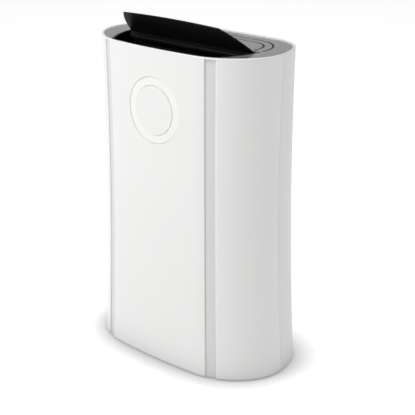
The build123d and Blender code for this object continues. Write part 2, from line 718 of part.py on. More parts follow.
def tank_float():
    arm = block(FLOAT_X - 2, FLOAT_X + 2, FLOAT_Y - 3, FLOAT_Y + 14, FLOAT_Z - 3, FLOAT_Z + 3)
    pad = block(FLOAT_X - 14, FLOAT_X + 14, FLOAT_Y + 12, FLOAT_Y + 42, FLOAT_Z - 9, FLOAT_Z + 9)
    pad = fillet(pad.edges(), 3)
    hole = rod("X", FLOAT_PIN + 0.05, FLOAT_X - 3, FLOAT_X + 3, (FLOAT_Y, FLOAT_Z))
    return arm + pad - hole


def float_pin():
    return rod("X", FLOAT_PIN, FLOAT_X - 5, FLOAT_X + 5, (FLOAT_Y, FLOAT_Z))


# ---------------------------------------------------------------- filter
def intake_grille():
    y0, y1 = GRILLE_FACE_Y - GRILLE_THICK, GRILLE_FACE_Y
    plate = block(-FILTER_X, FILTER_X, y0, y1, FILTER_Z0 + FILTER_GAP, FILTER_Z1 - FILTER_GAP)
    slots = Sketch()
    rows, pitch = 18, 11.4
    for row in range(rows):
        height = (row - (rows - 1) / 2) * pitch
        for x in (-67, 0, 67):
            slots += Pos(x, height) * SlotOverall(60, 6)
    middle = (FILTER_Z0 + FILTER_Z1) / 2
    stood = Plane((0, y0 - 1, middle), x_dir=(-1, 0, 0), z_dir=(0, 1, 0)) * slots
    plate -= extrude(stood, GRILLE_THICK * 2, dir=(0, 1, 0))
    return plate - block(-18, 18, y1 - 1.4, y1 + 1, FILTER_Z1 - 8, FILTER_Z1)


def filter_frame():
    frame = block(-FILTER_X + 2, FILTER_X - 2, 95.4, 103.1, FILTER_Z0 + 3, FILTER_Z1 - 3)
    return frame - block(-FILTER_X + 8, FILTER_X - 8, 95, 104, FILTER_Z0 + 9, FILTER_Z1 - 9)


def filter_mesh():
    return block(-FILTER_X + 8, FILTER_X - 8, 98, 100, FILTER_Z0 + 9, FILTER_Z1 - 9)


# ---------------------------------------------------------------- electrics and small parts
def main_board():
    return block(-150, -52, 8, 9.6, 190, 300)


def board_parts():
    capacitor = rod("Z", 16, 196, 262, (-100, -10))
    transformer = block(-146, -122, -16, 7.8, 205, 235)
    relay = block(-74, -58, -8, 7.8, 270, 292)
    clip = block(-118, -82, -10, 7.8, 222, 236)
    return capacitor + clip, transformer, relay


def cord_gland():
    return rod("Y", GLAND_R, 98, 113.0, GLAND_XZ) - rod("Y", 3.6, 97, 115, GLAND_XZ)


def drain_plug():
    x, z = DRAIN_XZ
    stem = rod("Y", DRAIN_R - 0.08, 92, 112.4, DRAIN_XZ)
    return stem + block(x - 1.5, x + 1.5, 112, 113.4, z - 6, z + 6)


def tank_switch():
    return block(-152.8, -141.5, 60, 80, 290, 306) - block(-145, -140, 58, 82, 289, 300)


def humidity_sensor():
    return block(134, 144, 50, 53, 470, 486)


def build():
    keep("front_panel", front_panel())
    keep("light_ring", light_ring())
    keep("ring_disc", ring_disc())
    keep("ring_led_board", ring_led_board())
    keep("side_panel_right", side_panel(1))
    keep("side_panel_left", side_panel(-1))
    keep("rear_cover", rear_cover())
    keep("top_rim", top_rim())
    keep("top_cover", top_cover())
    keep("control_ring", control_ring())
    keep("control_plate", control_plate())
    keep("display_lens", display_lens())
    for name, place in zip(BUTTON_NAMES, button_places()):
        keep(f"button_{name}", push_button(place))
    keep("control_tray", control_tray())
    keep("control_board", control_board())
    keep("tact_switches", group(*tact_switches()))
    keep("outlet_bezel", outlet_bezel())
    keep("outlet_duct", outlet_duct())
    keep("outlet_grille", outlet_grille())
    keep("outlet_flap", outlet_flap())
    keep("flap_pin", flap_pin())
    keep("flap_drive_shaft", flap_drive_shaft())
    keep("flap_motor", flap_motor())
    keep("base_pan", base_pan())
    keep("feet", group(*feet()))
    keep("floor_skids", group(*floor_skids()))
    keep("chassis", chassis())
    keep("coil_frame", coil_frame())
    keep("compressor", compressor())
    keep("compressor_grommets", group(*compressor_grommets()))
    keep("compressor_bolts", group(*compressor_bolts()))
    keep("accumulator", accumulator())
    keep("evaporator", coil(EVAPORATOR_Y))
    keep("condenser", coil(CONDENSER_Y))
    keep("suction_pipe", suction_pipe())
    keep("discharge_pipe", discharge_pipe())
    keep("capillary", capillary())
    keep("drip_tray", drip_tray())
    keep("fan_scroll", fan_scroll())
    keep("impeller", impeller())
    keep("motor_shaft", motor_shaft())
    keep("fan_motor", fan_motor())
    keep("water_tank", water_tank())
    keep("tank_lid", tank_lid())
    keep("tank_cover", tank_cover())
    keep("tank_float", tank_float())
    keep("float_pin", float_pin())
    keep("intake_grille", intake_grille())
    keep("filter_frame", filter_frame())
    keep("filter_mesh", filter_mesh())
    keep("main_board", main_board())
    keep("board_parts", group(*board_parts()))
    keep("cord_gland", cord_gland())
    keep("drain_plug", drain_plug())
    keep("tank_switch", tank_switch())
    keep("humidity_sensor", humidity_sensor())


build()
for node, shape in nodes.items():
    export_step(shape, f"parts/{node}.step")
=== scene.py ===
import math

import bmesh
import bpy
import numpy as np
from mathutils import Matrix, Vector
from mathutils.geometry import delaunay_2d_cdt


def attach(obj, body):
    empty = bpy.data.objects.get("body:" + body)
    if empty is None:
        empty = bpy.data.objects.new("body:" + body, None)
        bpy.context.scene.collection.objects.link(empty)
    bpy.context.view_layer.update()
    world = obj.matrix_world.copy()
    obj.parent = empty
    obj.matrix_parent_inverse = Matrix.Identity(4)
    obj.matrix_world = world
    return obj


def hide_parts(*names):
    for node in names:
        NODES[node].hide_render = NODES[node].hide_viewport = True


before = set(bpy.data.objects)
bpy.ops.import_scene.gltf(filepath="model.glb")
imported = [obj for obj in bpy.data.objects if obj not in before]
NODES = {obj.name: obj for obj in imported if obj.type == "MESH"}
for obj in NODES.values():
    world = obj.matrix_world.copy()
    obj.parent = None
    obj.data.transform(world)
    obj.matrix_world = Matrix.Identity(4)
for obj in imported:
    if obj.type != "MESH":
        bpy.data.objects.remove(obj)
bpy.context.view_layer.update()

# Lengths below are in millimetres, as in the CAD model; MM turns them into metres.
MM = 0.001

# ------------------------------------------------------------------ casing outline
HEIGHT = 600.0
TOP_SCALE, FLARE = 1.0035, 0.062  # plan scale at the top, and how far the waist widens below it
WALL = 2.8
BODY_GAP = 4.0  # between the casing walls and the floor
RIM, RIM_Z = 5.0, 597.0  # width of the white rim, and where it starts
COVER_Z, COVER_TOP = 594.5, 598.0  # under side and upper side of the silver top
COVER_THICK = COVER_TOP - COVER_Z
FRONT_Y = -107.0
# Each arc of the outline from the front centre to the flat back: radius, and bearing at its end.
PLAN_ARCS = ((1050.0, 5.0), (122.0, 60.0), (82.0, 90.0), (127.0, 125.0), (83.0, 180.0))
PANEL_END, GROOVE_END, GROOVE_DEPTH = 16.0, 25.0, 2.6  # bearings of the groove's two sides
PANEL_GAP, SEAM_GAP = 0.04, 0.4  # front to side panel, and side panel to rear cover
SEAM_Y, SEAM_BOW = 5.5, 5.5  # the side seam at half height, and how far its ends bend back
RING_Z, RING_OUTER, RING_INNER = 489.0, 60.0, 45.0
FINE_EDGE, SHELL_EDGE, PANEL_EDGE, GROOVE_EDGE = 0.12, 0.5, 0.9, 2.2  # edge radii of the shells
COVER_EDGE = 0.45
SIDE_STEP = 6.0  # longest side of most edge loops


def plan_tables():
    """Radius, start bearing, start distance and centre of each arc of the outline."""
    centre = np.array([0.0, FRONT_Y + PLAN_ARCS[0][0]])
    start, run, rows = 0.0, 0.0, []
    for i, (radius, end) in enumerate(PLAN_ARCS):
        rows.append((radius, math.radians(start), run, centre[0], centre[1]))
        run += radius * math.radians(end - start)
        if i + 1 < len(PLAN_ARCS):
            normal = np.array([math.sin(math.radians(end)), -math.cos(math.radians(end))])
            centre = centre + normal * (radius - PLAN_ARCS[i + 1][0])
        start = end
    return np.array(rows), run


ARCS, ARC_RUN = plan_tables()
FLAT_X = ARCS[-1][3]
BACK_Y = ARCS[-1][4] + ARCS[-1][0]
HALF_RUN = ARC_RUN + FLAT_X


def run_at(bearing):
    """Distance along the outline from the front centre to a bearing, in degrees."""
    turn = math.radians(bearing)
    row = ARCS[np.searchsorted(ARCS[:, 1], turn, side="right") - 1]
    return row[2] + (turn - row[1]) * row[0]


def outline(s, inset):
    """Plan position at distance s along the outline, set in by an inset, at scale 1."""
    turn = np.mod(s, 2 * HALF_RUN)
    side = np.where(turn > HALF_RUN, -1.0, 1.0)
    run = np.where(turn > HALF_RUN, 2 * HALF_RUN - turn, turn)
    index = np.clip(np.searchsorted(ARCS[:, 2], run, side="right") - 1, 0, len(ARCS) - 1)
    radius, start, first, cx, cy = ARCS[index].T
    bearing = start + (run - first) / radius
    x = cx + np.sin(bearing) * (radius - inset)
    y = cy - np.cos(bearing) * (radius - inset)
    flat = run > ARC_RUN
    x = np.where(flat, HALF_RUN - run, x)
    y = np.where(flat, BACK_Y - inset, y)
    return side * x, y


def waist(z):
    """Scale of the outline at height z: narrowest above the middle, widest at the floor."""
    rise = z / HEIGHT
    return TOP_SCALE + FLARE * (1 - rise) * (1 - 2 * rise)


def casing(s, z, depth):
    """A point of the casing wall: distance round it, height, and depth under its surface."""
    x, y = outline(s, depth)
    scale = waist(z)
    return np.stack([x * scale, y * scale, z + 0.0 * x], axis=-1)


def solve(measure, low, high, wanted):
    """Distances s at which measure(s) has the wanted values, by halving."""
    low, high = np.full_like(wanted, low), np.full_like(wanted, high)
    rising = measure(high) > measure(low)
    for _ in range(40):
        middle = (low + high) / 2
        below = (measure(middle) < wanted) == rising
        low, high = np.where(below, middle, low), np.where(below, high, middle)
    return (low + high) / 2


def run_at_x(x, z):
    """Distance round the back at which the wall has a given x, at height z."""
    x, z = np.asarray(x, float), np.asarray(z, float)
    return solve(lambda s: outline(s, 0.0)[0] * waist(z), run_at(100), 2 * HALF_RUN - run_at(100), x)


def run_at_seam(z, shift):
    """Distance round the right side at which the side seam crosses height z."""
    z = np.asarray(z, float)
    rise = (z - HEIGHT / 2) / 310.0
    y = SEAM_Y + SEAM_BOW * rise ** 2 + shift
    return solve(lambda s: outline(s, 0.0)[1] * waist(z), run_at(80), run_at(110), y)


# ------------------------------------------------------------------ outlines in two dimensions
def densify(loop, step):
    """The closed loop with no side longer than a step."""
    points = []
    for a, b in zip(loop, np.roll(loop, -1, axis=0)):
        parts = max(1, int(math.ceil(np.linalg.norm(b - a) / step)))
        points += [a + (b - a) * i / parts for i in range(parts)]
    return np.array(points)


def rounded(corners, radii, parts=8):
    """A closed polygon with rounded corners."""
    corners = [np.array(c, float) for c in corners]
    points = []
    for i, corner in enumerate(corners):
        before, after = corners[i - 1] - corner, corners[(i + 1) % len(corners)] - corner
        before, after = before / np.linalg.norm(before), after / np.linalg.norm(after)
        radius = radii if np.isscalar(radii) else radii[i]
        if radius < 0.01:
            points.append(corner)
            continue
        half = math.acos(np.clip(before @ after, -1, 1)) / 2
        middle = corner + (before + after) / np.linalg.norm(before + after) * radius / math.sin(half)
        a = corner + before * radius / math.tan(half) - middle
        b = corner + after * radius / math.tan(half) - middle
        count = max(3, int(parts * (1 + radius / 25)))
        start, turn = math.atan2(a[1], a[0]), math.atan2(a[0] * b[1] - a[1] * b[0], a @ b)
        for k in range(count + 1):
            angle = start + turn * k / count
            points.append(middle + radius * np.array([math.cos(angle), math.sin(angle)]))
    return np.array(points)


def rectangle(x0, x1, y0, y1, radius):
    return rounded(((x0, y0), (x1, y0), (x1, y1), (x0, y1)), radius)


def circle(x, y, radius, count):
    turn = np.arange(count) * 2 * math.pi / count
    return np.stack([x + radius * np.cos(turn), y + radius * np.sin(turn)], axis=-1)


def slot(x, y, length, width, count=10):
    """A slot with round ends, drawn about its middle."""
    return rounded(((x - length / 2, y - width / 2), (x + length / 2, y - width / 2),
                    (x + length / 2, y + width / 2), (x - length / 2, y + width / 2)),
                   width / 2 - 0.01, count)


def arc_through(a, b, c, count):
    """Points on the arc from a through b to c."""
    (ax, ay), (bx, by), (cx, cy) = a, b, c
    d = 2 * (ax * (by - cy) + bx * (cy - ay) + cx * (ay - by))
    a2, b2, c2 = ax**2 + ay**2, bx**2 + by**2, cx**2 + cy**2
    ux = (a2 * (by - cy) + b2 * (cy - ay) + c2 * (ay - by)) / d
    uy = (a2 * (cx - bx) + b2 * (ax - cx) + c2 * (bx - ax)) / d
    start, end = math.atan2(ay - uy, ax - ux), math.atan2(cy - uy, cx - ux)
    turn = (end - start + math.pi) % (2 * math.pi) - math.pi
    angles = start + turn * np.linspace(0, 1, count)
    radius = math.hypot(ax - ux, ay - uy)
    return np.stack([ux + radius * np.cos(angles), uy + radius * np.sin(angles)], axis=-1)


def area(loop):
    """Signed area, positive for a loop that runs anticlockwise."""
    x, y = loop.T
    return 0.5 * np.sum(x * np.roll(y, -1) - y * np.roll(x, -1))


def inside(points, loops):
    """Which points are inside the loops, by counting crossings."""
    hit = np.zeros(len(points), bool)
    px, py = points.T
    for loop in loops:
        for (ax, ay), (bx, by) in zip(loop, np.roll(loop, -1, axis=0)):
            if ay == by:
                continue
            crosses = (ay > py) != (by > py)
            hit ^= crosses & (px < (bx - ax) * (py - ay) / (by - ay) + ax)
    return hit


def clearance(points, loops):
    """Distance of each point from the nearest side of the loops."""
    best = np.full(len(points), 1e9)
    for loop in loops:
        for a, b in zip(loop, np.roll(loop, -1, axis=0)):
            side = b - a
            along = np.clip((points - a) @ side / max(side @ side, 1e-9), 0, 1)
            best = np.minimum(best, np.linalg.norm(points - a - along[:, None] * side, axis=1))
    return best


def loop_normals(loop):
    """Outward normal at each corner of a loop, long enough to offset both sides alike."""
    ahead = np.roll(loop, -1, axis=0) - loop
    ahead = ahead / np.linalg.norm(ahead, axis=1, keepdims=True)
    sides = np.stack([ahead[:, 1], -ahead[:, 0]], axis=-1)
    both = sides + np.roll(sides, 1, axis=0)
    both = both / np.linalg.norm(both, axis=1, keepdims=True)
    return both / np.clip(np.sum(both * sides, axis=1, keepdims=True), 0.5, 1)


def fill(loops, extra):
    """Triangles that fill the loops, using the extra points. Indices run over loops, then extra."""
    points = np.concatenate([*loops, extra]) if len(extra) else np.concatenate(loops)
    edges, start = [], 0
    for loop in loops:
        n = len(loop)
        edges += [(start + i, start + (i + 1) % n) for i in range(n)]
        start += n
    out = delaunay_2d_cdt([Vector(p) for p in points], edges, [], 0, 1e-7)
    coords, faces, origin = np.array([tuple(v) for v in out[0]]), out[2], out[3]
    triangles = np.array([f for f in faces if len(f) == 3])
    middles = coords[triangles].mean(axis=1)
    triangles = triangles[inside(middles, loops)]
    a, b, c = coords[triangles[:, 0]], coords[triangles[:, 1]], coords[triangles[:, 2]]
    turn = (b - a)[:, 0] * (c - a)[:, 1] - (b - a)[:, 1] * (c - a)[:, 0]
    triangles[turn < 0] = triangles[turn < 0][:, ::-1]
    first = np.array([o[0] if o else -1 for o in origin])
    triangles = first[triangles]
    return [tuple(int(i) for i in t) for t in triangles if min(t) >= 0 and len(set(t)) == 3]


# ------------------------------------------------------------------ meshes
def finish_mesh(name, points, faces, normals=None, mirror=False):
    """A mesh object from points in millimetres."""
    points = np.array(points, float)
    if mirror:
        points = points * np.array([-1, 1, 1])
        faces = [tuple(reversed(f)) for f in faces]
    mesh = bpy.data.meshes.new(name)
    mesh.from_pydata([tuple(p) for p in points * MM], [], faces)
    mesh.validate()
    mesh.update()
    mesh.shade_smooth()
    if normals is not None:
        normals = np.array(normals, float)
        if mirror:
            normals = normals * np.array([-1, 1, 1])
        mesh.normals_split_custom_set_from_vertices([tuple(n) for n in normals])
    obj = bpy.data.objects.new(name, mesh)
    bpy.context.scene.collection.objects.link(obj)
    return obj


def frame_at(place, uv, depth):
    """Position, surface normal and the two surface directions at points of a plate."""
    u, v = uv.T
    e = 0.02  # how far to each side the slope is measured
    here = place(u, v, depth)
    du = place(u + e, v, depth) - place(u - e, v, depth)
    dv = place(u, v + e, depth) - place(u, v - e, depth)
    du = du / np.linalg.norm(du, axis=1, keepdims=True)
    dv = dv / np.linalg.norm(dv, axis=1, keepdims=True)
    n = np.cross(du, dv)
    return here, n / np.linalg.norm(n, axis=1, keepdims=True), du, dv


EDGE_STEPS = 4


def plate_parts(loops, place, thick, edge, back=0.3, lines=None, clear=2.0):
    """Points, faces and normals of a plate of even thickness laid on a curved surface, with
    rounded edges. The first loop is its border and the others are holes. The radius of the
    front edge is a number or a function of the loop; back is the radius of the back edge.
    Lines make a grid inside the plate, which stays clear of the edges by a distance."""
    loops = [np.array(loop, float) for loop in loops]
    loops = [loop if (area(loop) > 0) == (i == 0) else loop[::-1] for i, loop in enumerate(loops)]
    outward = [loop_normals(loop) for loop in loops]
    radii = [edge(loop) if callable(edge) else np.full(len(loop), edge) for loop in loops]
    turns = [math.pi / 2 * k / EDGE_STEPS for k in range(EDGE_STEPS + 1)]
    turns += [math.pi / 2, math.pi * 3 / 4, math.pi]
    front_loops = [loop - n * r[:, None] for loop, n, r in zip(loops, outward, radii)]
    extra = np.zeros((0, 2))
    if lines is not None:
        us, vs = lines
        grid = np.stack(np.meshgrid(us, vs), axis=-1).reshape(-1, 2)
        low = np.min(loops[0], axis=0)
        high = np.max(loops[0], axis=0)
        grid = grid[np.all((grid > low) & (grid < high), axis=1)]
        grid = grid[inside(grid, front_loops)]
        extra = grid[clearance(grid, front_loops) > clear]
    triangles = fill(front_loops, extra)
    points, normals, faces = [], [], []
    counts = [len(loop) for loop in loops]
    ring = sum(counts)

    def add(uv, depth, angle, out):
        here, n, du, dv = frame_at(place, uv, depth)
        if out is not None:
            unit = out / np.linalg.norm(out, axis=1, keepdims=True)
            t = du * unit[:, :1] + dv * unit[:, 1:]
            t = t / np.linalg.norm(t, axis=1, keepdims=True)
            n = n * math.cos(angle) + t * math.sin(angle)
            n = n / np.linalg.norm(n, axis=1, keepdims=True)
        else:
            n = n * math.cos(angle)
        points.extend(here)
        normals.extend(n)

    rows = []
    for step, angle in enumerate(turns):
        rows.append(len(points))
        for loop, n, r in zip(loops, outward, radii):
            if step <= EDGE_STEPS:
                depth = r * (1 - math.cos(angle))
            else:
                r = np.full(len(loop), back)
                depth = thick - r * (1 + math.cos(angle))
            offset = r * (math.sin(angle) - 1)
            add(loop + n * offset[:, None], depth, angle, n)
    inner_front = len(points)
    if len(extra):
        add(extra, 0.0, 0.0, None)
    inner_back = len(points)
    if len(extra):
        add(extra, thick, math.pi, None)

    def index(i, row, inner):
        return rows[row] + i if i < ring else inner + i - ring

    for t in triangles:
        faces.append(tuple(index(i, 0, inner_front) for i in t))
        faces.append(tuple(index(i, -1, inner_back) for i in reversed(t)))
    for low, high in zip(rows, rows[1:]):
        start = 0
        for count in counts:
            for i in range(count):
                j = (i + 1) % count
                faces.append((low + start + i, high + start + i, high + start + j, low + start + j))
            start += count
    return points, faces, normals


def join_parts(*parts):
    """Several (points, faces, normals) as one."""
    points, faces, normals = [], [], []
    for p, f, n in parts:
        start = len(points)
        points += list(p)
        normals += list(n)
        faces += [tuple(i + start for i in face) for face in f]
    return points, faces, normals


def lathe_parts(profile, origin, axis, count=64):
    """A turned piece from a closed (radius, along) profile, about an axis X or Y."""
    profile = np.array(profile, float)
    ahead = np.roll(profile, -1, axis=0) - profile
    ahead = ahead / np.maximum(np.linalg.norm(ahead, axis=1, keepdims=True), 1e-9)
    sides = np.stack([ahead[:, 1], -ahead[:, 0]], axis=-1)
    if area(profile) < 0:
        sides = -sides
    both = sides + np.roll(sides, 1, axis=0)
    both = both / np.maximum(np.linalg.norm(both, axis=1, keepdims=True), 1e-9)
    turn = np.arange(count) * 2 * math.pi / count
    points, normals = [], []
    for t in turn:
        c, s = math.cos(t), math.sin(t)
        for (r, h), (nr, nh) in zip(profile, both):
            ring = {"X": (h, r * c, r * s), "Y": (r * s, h, r * c)}[axis]
            norm = {"X": (nh, nr * c, nr * s), "Y": (nr * s, nh, nr * c)}[axis]
            points.append(np.array(origin) + np.array(ring))
            normals.append(np.array(norm))
    n = len(profile)
    faces = []
    clockwise = area(profile) < 0
    for i in range(count):
        j = (i + 1) % count
        for k in range(n):
            m = (k + 1) % n
            quad = (i * n + k, j * n + k, j * n + m, i * n + m)
            faces.append(quad if clockwise else tuple(reversed(quad)))
    return points, faces, normals


def put(obj, body, slot_name, *replaced):
    """Hand a piece to its body and give it a finish, in place of the CAD nodes named."""
    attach(obj, body)
    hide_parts(*replaced)
    obj.data.materials.clear()
    obj.data.materials.append(MATERIALS[slot_name])


# ------------------------------------------------------------------ materials
def nodes_of(material):
    """Node tree and shader of a new material, and the place on the object as a socket."""
    material.use_nodes = True
    tree = material.node_tree
    tree.nodes.clear()
    out = tree.nodes.new("ShaderNodeOutputMaterial")
    shader = tree.nodes.new("ShaderNodeBsdfPrincipled")
    tree.links.new(shader.outputs[0], out.inputs[0])
    where = tree.nodes.new("ShaderNodeTexCoord")
    return tree, shader, where.outputs["Object"]


def noise(tree, where, scale, detail=3.0, stretch=None):
    if stretch:
        mapping = tree.nodes.new("ShaderNodeMapping")
        mapping.inputs["Scale"].default_value = stretch
        tree.links.new(where, mapping.inputs["Vector"])
        where = mapping.outputs[0]
    node = tree.nodes.new("ShaderNodeTexNoise")
    node.inputs["Scale"].default_value = scale
    node.inputs["Detail"].default_value = detail
    tree.links.new(where, node.inputs["Vector"])
    return node.outputs["Fac"]


def ramp(tree, value, low, high, start=0.3, end=0.7):
    """Turn a 0-1 pattern into a number between low and high."""
    node = tree.nodes.new("ShaderNodeMapRange")
    node.inputs["From Min"].default_value = start
    node.inputs["From Max"].default_value = end
    node.inputs["To Min"].default_value = low
    node.inputs["To Max"].default_value = high
    tree.links.new(value, node.inputs["Value"])
    return node.outputs[0]


def blend_colours(tree, value, first, second, start=0.3, end=0.7):
    node = tree.nodes.new("ShaderNodeMix")
    node.data_type = "RGBA"
    node.inputs[6].default_value = (*first, 1)
    node.inputs[7].default_value = (*second, 1)
    tree.links.new(ramp(tree, value, 0, 1, start, end), node.inputs[0])
    return node.outputs[2]


def bump(tree, shader, height, strength, distance):
    node = tree.nodes.new("ShaderNodeBump")
    node.inputs["Strength"].default_value = strength
    node.inputs["Distance"].default_value = distance
    tree.links.new(height, node.inputs["Height"])
    tree.links.new(node.outputs[0], shader.inputs["Normal"])


def shade(colour, amount):
    """A colour lighter by a fraction, or darker if it is negative."""
    return tuple(min(1.0, c * (1 + amount)) for c in colour)


def surface(name, colour, rough, spread, tone, cloud, grain, relief, strength,
            metal=0.0, coat=0.0, stretch=None, **values):
    """A moulded or painted finish. The colour drifts by tone over patches of scale cloud, the
    roughness by spread, and a grain of scale grain has a relief in metres and its strength."""
    material = bpy.data.materials.new(name)
    tree, shader, where = nodes_of(material)
    slow = noise(tree, where, cloud, 4.0)
    fine = noise(tree, where, grain, stretch=stretch)
    tree.links.new(blend_colours(tree, slow, shade(colour, -tone), shade(colour, tone)),
                   shader.inputs["Base Color"])
    tree.links.new(ramp(tree, noise(tree, where, cloud * 4, 5.0), rough - spread, rough + spread),
                   shader.inputs["Roughness"])
    bump(tree, shader, fine, strength, relief)
    shader.inputs["Metallic"].default_value = metal
    shader.inputs["Coat Weight"].default_value = coat
    for key, value in values.items():
        shader.inputs[key.replace("_", " ")].default_value = value
    return material


def with_pattern(name, colour, dark, rough, pattern, relief, metal=0.0):
    """A finish whose colour and relief follow a pattern made by a function of (tree, where)."""
    material = bpy.data.materials.new(name)
    tree, shader, where = nodes_of(material)
    value = pattern(tree, where)
    tree.links.new(blend_colours(tree, value, dark, colour, 0.25, 0.75), shader.inputs["Base Color"])
    tree.links.new(ramp(tree, noise(tree, where, 40.0), rough - 0.05, rough + 0.05),
                   shader.inputs["Roughness"])
    bump(tree, shader, value, 0.6, relief)
    shader.inputs["Metallic"].default_value = metal
    return material


def stripes(axis, scale):
    """Bands across an axis, such as fins."""
    def pattern(tree, where):
        node = tree.nodes.new("ShaderNodeTexWave")
        node.bands_direction = axis
        node.inputs["Scale"].default_value = scale
        node.inputs["Distortion"].default_value = 0.0
        tree.links.new(where, node.inputs["Vector"])
        return node.outputs["Fac"]
    return pattern


def weave(scale):
    """Threads along two axes."""
    def pattern(tree, where):
        total = tree.nodes.new("ShaderNodeMath")
        total.operation = "MAXIMUM"
        for i, axis in enumerate(("X", "Z")):
            tree.links.new(stripes(axis, scale)(tree, where), total.inputs[i])
        return total.outputs[0]
    return pattern


def cells(scale):
    """Irregular cells, as in foam."""
    def pattern(tree, where):
        node = tree.nodes.new("ShaderNodeTexVoronoi")
        node.inputs["Scale"].default_value = scale
        tree.links.new(where, node.inputs["Vector"])
        return node.outputs["Distance"]
    return pattern


WHITE = (0.73, 0.725, 0.72)
# Painted shade: the groove floor is coloured darker than the white by this fraction.
GROOVE_PAINTED_SHADE = -0.16
SILVER_DARK, SILVER_LIGHT = (0.51, 0.49, 0.5), (0.65, 0.625, 0.635)


def silver_finish():
    """Metallic lacquer: a fine sparkle under a smooth clear coat."""
    material = bpy.data.materials.new("silver_top")
    tree, shader, where = nodes_of(material)
    flake = noise(tree, where, 2600.0, 1.0)
    tree.links.new(blend_colours(tree, flake, SILVER_DARK, SILVER_LIGHT, 0.35, 0.65),
                   shader.inputs["Base Color"])
    tree.links.new(ramp(tree, noise(tree, where, 60.0), 0.2, 0.25), shader.inputs["Roughness"])
    bump(tree, shader, flake, 0.06, 0.0001)
    shader.inputs["Metallic"].default_value = 0.75
    shader.inputs["Coat Weight"].default_value = 0.35
    shader.inputs["Coat Roughness"].default_value = 0.08
    return material


# After the name: colour, roughness, spread, tone, cloud, grain, relief, strength.
MATERIALS = {
    "white_gloss": surface("white_gloss", WHITE, 0.3, 0.02, 0.008, 5.0, 380.0, 0.00015, 0.05,
                           coat=0.25, Coat_Roughness=0.12),
    "white_satin": surface("white_satin", shade(WHITE, -0.03), 0.4, 0.03, 0.012, 7.0, 1400.0,
                           0.0002, 0.15),
    "silver_top": silver_finish(),
    "black_gloss": surface("black_gloss", (0.0115, 0.0105, 0.0115), 0.3, 0.03, 0.2, 14.0, 700.0,
                           0.0001, 0.08, Specular_IOR_Level=0.14),
    "black_matte": surface("black_matte", (0.016, 0.016, 0.018), 0.48, 0.06, 0.25, 20.0, 1800.0,
                           0.0003, 0.4),
    "ring_lens": surface("ring_lens", (0.765, 0.755, 0.725), 0.34, 0.04, 0.015, 30.0, 600.0,
                         0.0001, 0.1, Emission_Color=(1.0, 0.97, 0.9, 1.0), Emission_Strength=0.015),
    "display_lens": surface("display_lens", (0.008, 0.009, 0.011), 0.06, 0.02, 0.1, 12.0, 400.0,
                            0.0001, 0.03, coat=1.0),
    "button_cap": surface("button_cap", (0.42, 0.415, 0.42), 0.3, 0.04, 0.04, 60.0, 1500.0,
                          0.0001, 0.15, metal=0.6),
    "rubber_grey": surface("rubber_grey", (0.055, 0.055, 0.057), 0.7, 0.08, 0.15, 60.0, 1200.0,
                           0.0004, 0.5),
    "foot_grey": surface("foot_grey", (0.72, 0.715, 0.71), 0.5, 0.05, 0.05, 60.0, 1200.0,
                         0.0002, 0.25),
    "steel_sheet": surface("steel_sheet", (0.56, 0.57, 0.58), 0.34, 0.06, 0.06, 12.0, 500.0,
                           0.0002, 0.2, metal=1.0, stretch=(1.0, 1.0, 0.05)),
    "steel_pin": surface("steel_pin", (0.6, 0.6, 0.6), 0.22, 0.05, 0.05, 80.0, 900.0, 0.0001, 0.2,
                         metal=1.0, stretch=(0.05, 1.0, 1.0)),
    "compressor_black": surface("compressor_black", (0.012, 0.012, 0.013), 0.36, 0.08, 0.25, 30.0,
                                900.0, 0.0004, 0.35, coat=0.3),
    "aluminium_fins": with_pattern("aluminium_fins", (0.72, 0.73, 0.74), (0.10, 0.10, 0.11), 0.35,
                                   stripes("X", 105.0), 0.0008, metal=0.9),
    "copper": surface("copper", (0.72, 0.32, 0.17), 0.27, 0.08, 0.18, 35.0, 600.0, 0.0001, 0.15,
                      metal=1.0),
    "board_green": with_pattern("board_green", (0.02, 0.16, 0.06), (0.01, 0.08, 0.035), 0.4,
                                cells(220.0), 0.0001),
    "tank_clear": surface("tank_clear", (0.80, 0.86, 0.88), 0.16, 0.04, 0.02, 12.0, 300.0, 0.0002, 0.08,
                          Transmission_Weight=0.85, IOR=1.49),
    "grille_white": surface("grille_white", shade(WHITE, -0.02), 0.42, 0.04, 0.012, 9.0, 1500.0,
                            0.0002, 0.2),
    "filter_cloth": with_pattern("filter_cloth", (0.30, 0.31, 0.33), (0.03, 0.03, 0.035), 0.75,
                                 weave(190.0), 0.0006),
    "fan_grey": surface("fan_grey", (0.12, 0.12, 0.125), 0.45, 0.05, 0.08, 25.0, 1200.0,
                        0.0002, 0.3),
    "float_foam": with_pattern("float_foam", (0.85, 0.84, 0.80), (0.6, 0.59, 0.55), 0.8,
                               cells(500.0), 0.0006),
}
# The groove floor's finish: the white darkened by painted shade for the recess.
GROOVE_PAINTED_SHADE_FINISH = surface("groove_painted_shade", shade(WHITE, GROOVE_PAINTED_SHADE), 0.32, 0.02, 0.008, 5.0, 380.0,
                        0.00015, 0.05)
for node in NODES.values():
    for index, material in enumerate(node.data.materials):
        node.data.materials[index] = MATERIALS[material.name.split(".")[0]]

# ------------------------------------------------------------------ front panel, ring and sides
def lines(low, high, step):
    """Evenly spaced places from low to high, about a step apart."""
    return np.linspace(low, high, int(round((high - low) / step)) + 1)


Z_LINES = lines(BODY_GAP, RIM_Z, 9.0)
panel_run = run_at(PANEL_END)
panel_loop = densify(rectangle(-panel_run, panel_run, BODY_GAP, RIM_Z, 1.2), SIDE_STEP)
panel_lines = (lines(-panel_run, panel_run, 9.0), Z_LINES)


def edge_radius(by_groove, elsewhere):
    """Edge radius of a casing wall: fine under the rim, and its own at the foot of the groove."""
    def radii(loop):
        run, height = np.abs(loop[:, 0]), loop[:, 1]
        radius = np.where(np.abs(run - panel_run) < 1.5 * PANEL_GAP, by_groove, elsewhere)
        return np.where(height > RIM_Z - 1.5, FINE_EDGE, radius)
    return radii


def sunk(amount):
    """The casing's surface, set in by an amount."""
    return lambda s, z, depth: casing(s, z, depth + amount)


def ring_circle(radius):
    return circle(0, RING_Z, radius, 120)


